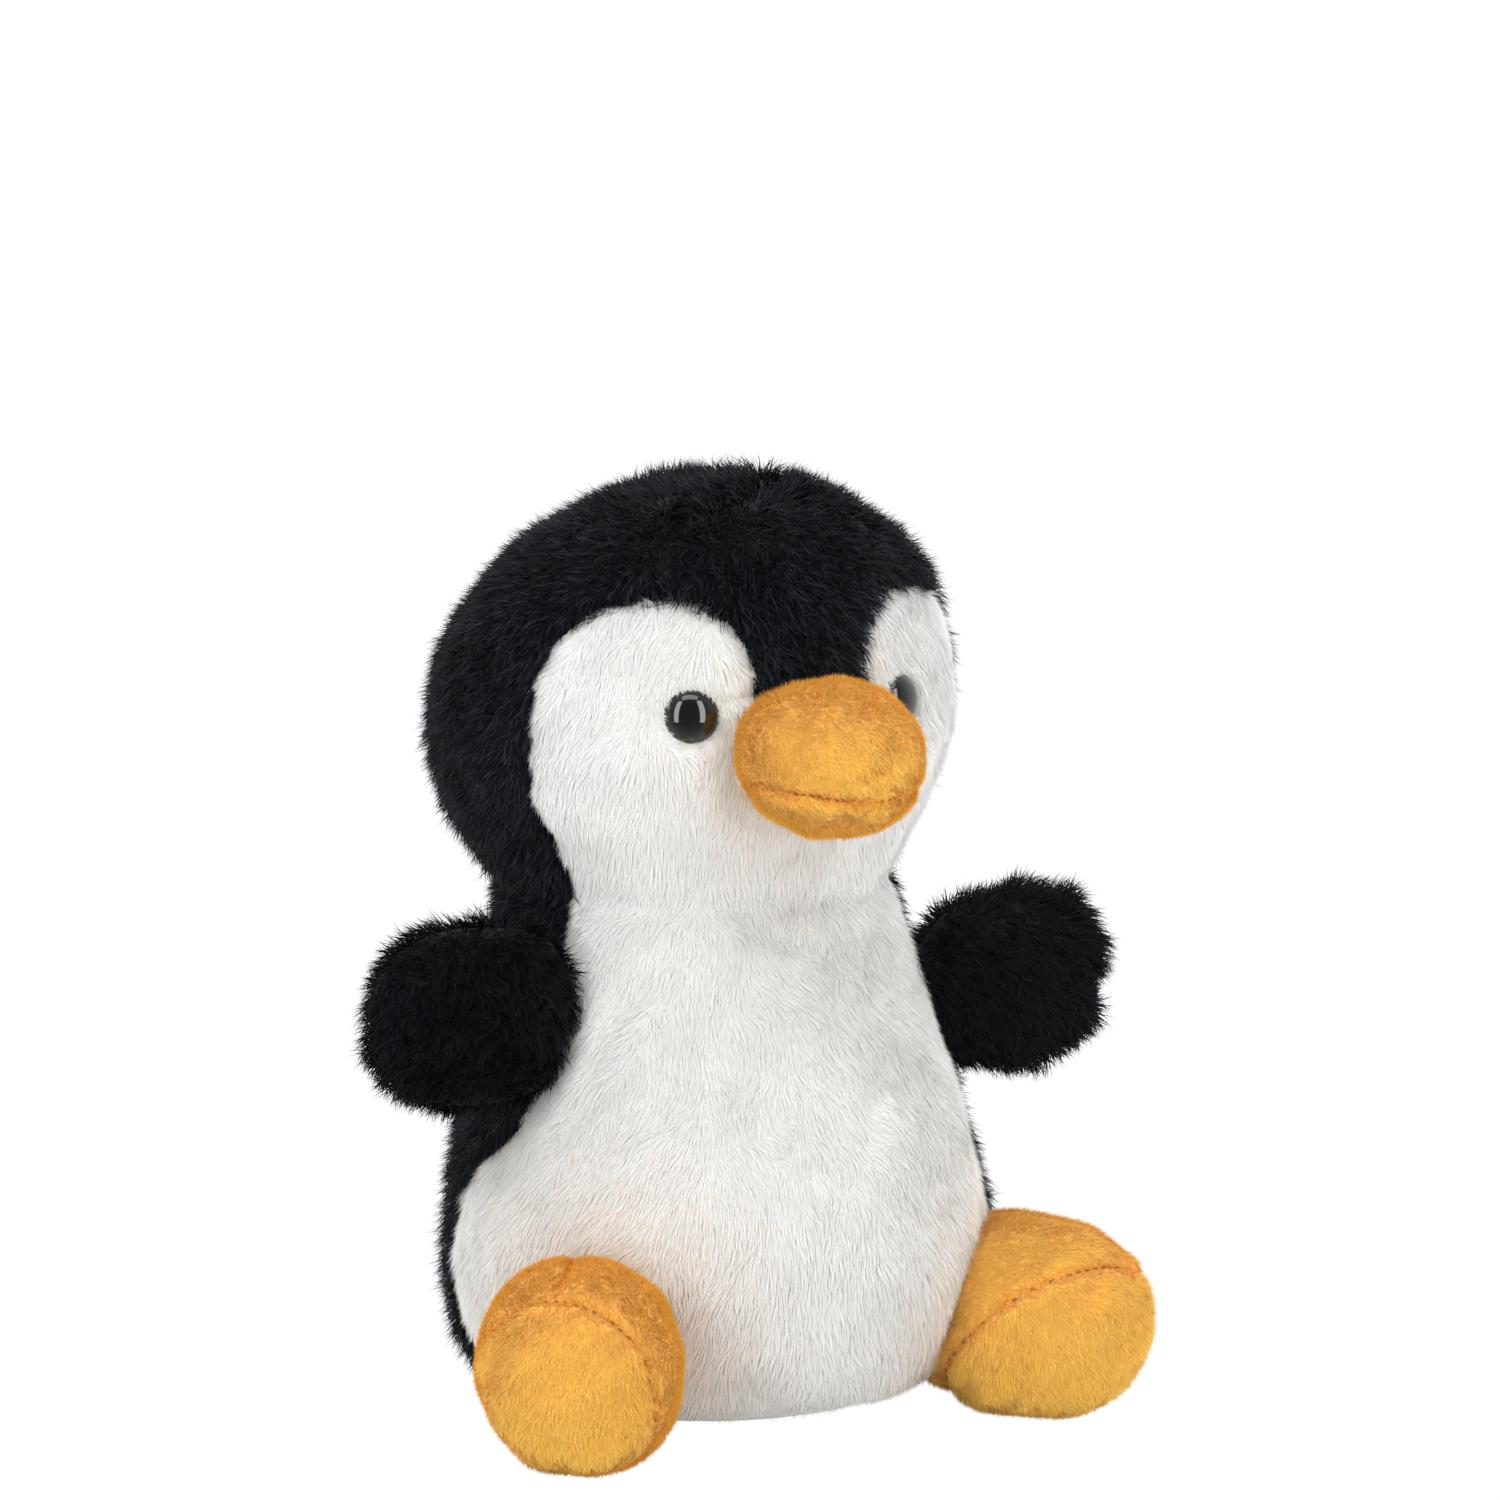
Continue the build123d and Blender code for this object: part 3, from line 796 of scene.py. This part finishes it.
ring, reach = np.meshgrid(np.linspace(0, 2 * np.pi, 161), np.linspace(0, np.pi, 90))
form = beak(ring, reach)
form_normals = grid_normals(form)
mouth_field = form[..., 2] - MOUTH - 0.009 * form[..., 0] ** 2
mouth_dip = seam_depth(mouth_field, form, 1.0, 1.1)
mouth_dip *= (form[..., 1] < -36)
skin = form - form_normals * (SHORT_DEPTH + 1.3 * mouth_dip
                              - 0.35 * ripple(form, 13.0, 61)[..., 0])[..., None]
skin[:, -1] = skin[:, 0]
beak_cells = grid_quads(*skin.shape[:2])
upper = mouth_field.ravel()[beak_cells].mean(1) > 0
in_view = skin[..., 1].ravel()[beak_cells].mean(1) < -26
for number, (half, chosen) in enumerate((("upper", upper), ("lower", ~upper))):
    name = f"beak_{half}_panel"
    panel = cloth_piece(f"{name}_cloth", skin, beak_cells[chosen], orange_cloth, 0.8)
    pile = short_pile(f"{name}_pile", skin, beak_cells[chosen & in_view], mouth_dip, 22.0,
                      400 + 10 * number, np.array([0.0, -0.9, -0.35]))
    for piece in (panel, pile):
        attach(piece, "head")
    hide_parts(name)
path, path_normals = seam_path(skin, form_normals, mouth_field)
front = path[:, 1] < -45
mouth_thread = stitches("beak_mouth_thread", path[front], path_normals[front], 1.5, (0.6, 0.17),
                        thread_material, 470)
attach(mouth_thread, "head")
fill = closed_grid("beak_stuffing_fibre", beak(ring, reach, FIRM_FILL)[::3, ::4], stuffing)
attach(fill, "head")
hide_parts("beak_stuffing")

# ---------------------------------------------------------------------------
# Feet: stubby pads of the same orange plush. Each is an upper, closed by one short seam on
# top, sewn round an oval sole that faces forward; the foot is sewn to the belly's edge.
# ---------------------------------------------------------------------------
FOOT_MIDDLES = {1: np.array([47.0, -34.3, 20.2]), -1: np.array([49.7, -35.5, 20.4])}
FOOT_HALVES = {1: (20.6, 24.6, 19.6), -1: (19.2, 24.0, 20.0)}
TOE_OUT = np.radians(25.0)
# How each sole faces, out and down, and how far it is ahead of the foot's middle
SOLES = {"left": (np.radians(7.0), np.radians(44.0), 5.0),
         "right": (np.radians(53.0), np.radians(17.0), 9.6)}


def foot(ring, reach, side, size=1.0):
    """A long ball: rounded cross-sections about an axis that points forward and out. The
    reach angle runs from the toe's pole to the heel's."""
    round_in = np.sin(reach) ** 0.9
    half = FOOT_HALVES[side]
    x = half[0] * round_in * power_wave(np.cos(ring), 0.96) * size
    z = half[2] * round_in * power_wave(np.sin(ring), 0.96) * size
    y = -half[1] * power_wave(np.cos(reach), 0.95) * size
    turned = np.stack([x * np.cos(TOE_OUT) - y * np.sin(TOE_OUT),
                       x * np.sin(TOE_OUT) + y * np.cos(TOE_OUT), z], -1)
    return (FOOT_MIDDLES[side] + turned) * [side, 1, 1]


for number, (hand, side) in enumerate((("left", 1), ("right", -1))):
    form = foot(ring, reach, side)
    form_normals = grid_normals(form)
    sole_out, sole_down, sole_reach = SOLES[hand]
    toe_way = np.array([side * np.sin(sole_out) * np.cos(sole_down),
                        -np.cos(sole_out) * np.cos(sole_down), -np.sin(sole_down)])
    local = form - FOOT_MIDDLES[side] * [side, 1, 1]
    sole_field = local @ toe_way - sole_reach
    inner = -side * local[..., 0]
    top_field = 0.75 * (inner - 0.8) - 0.66 * (local[..., 1] - 3.8)
    sole_dip = seam_depth(sole_field, form, 1.0, 1.2)
    top_dip = seam_depth(top_field, form, 0.8, 1.0) * (sole_field < 0) * (local[..., 2] > 8)
    dip = np.maximum(sole_dip, top_dip)
    skin = form - form_normals * (SHORT_DEPTH + 1.1 * dip
                                  - 0.45 * ripple(form, 16.0, 71 + number)[..., 0])[..., None]
    skin[..., 2] = np.maximum(skin[..., 2], 0.8)
    skin[:, -1] = skin[:, 0]
    foot_cells = grid_quads(*skin.shape[:2])
    sole_cells = sole_field.ravel()[foot_cells].mean(1) > 0
    for face, chosen in (("upper", ~sole_cells), ("sole", sole_cells)):
        name = f"foot_{hand}_{face}_panel"
        panel = cloth_piece(f"{name}_cloth", skin, foot_cells[chosen], orange_cloth, 0.8)
        way = np.array([side * 0.3, -0.3, -0.8] if face == "sole" else [side * 0.5, -0.8, -0.2])
        pile = short_pile(f"{name}_pile", skin, foot_cells[chosen], dip, 20.0,
                          500 + 40 * number + 20 * (face == "sole"), way)
        for piece in (panel, pile):
            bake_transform(piece)
        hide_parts(name)
    path, path_normals = seam_path(skin, form_normals, sole_field)
    sole_thread = stitches(f"foot_{hand}_thread", path, path_normals, 1.9, (0.6, 0.16),
                           thread_material, 480 + number)
    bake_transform(sole_thread)
    fill = closed_grid(f"foot_{hand}_stuffing_fibre",
                       foot(ring, reach, side, FIRM_FILL)[::3, ::4], stuffing)
    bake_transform(fill)
    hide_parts(f"foot_{hand}_stuffing")
